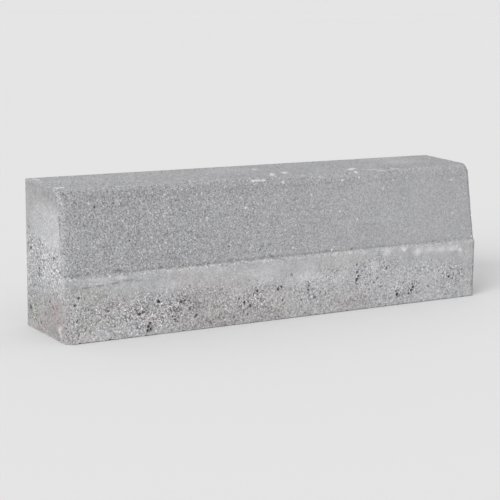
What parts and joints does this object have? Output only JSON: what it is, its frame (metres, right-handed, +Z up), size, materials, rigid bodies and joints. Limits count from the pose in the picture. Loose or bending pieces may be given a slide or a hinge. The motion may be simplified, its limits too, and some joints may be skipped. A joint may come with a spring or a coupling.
{
  "type": "concrete kerb stone",
  "caption": "Precast concrete road kerb with a leaning upper face above a small ledge, a rounded nose, an almost level top and chamfered front end arrises.",
  "frame": {"origin": "centre of the bounding box in plan, at the bed", "axes": "+X along the kerb from butt joint to butt joint, +Y from the road to the back, +Z up; the road side faces -Y"},
  "size_m": [1, 0.2, 0.2999],
  "materials": {
    "concrete": "vibrated concrete, fine sandy grain on the leaning face and open pits on the lower front and ends"
  },
  "bodies": {
    "root": {"kerb_stone": "concrete"}
  },
  "joints": []
}
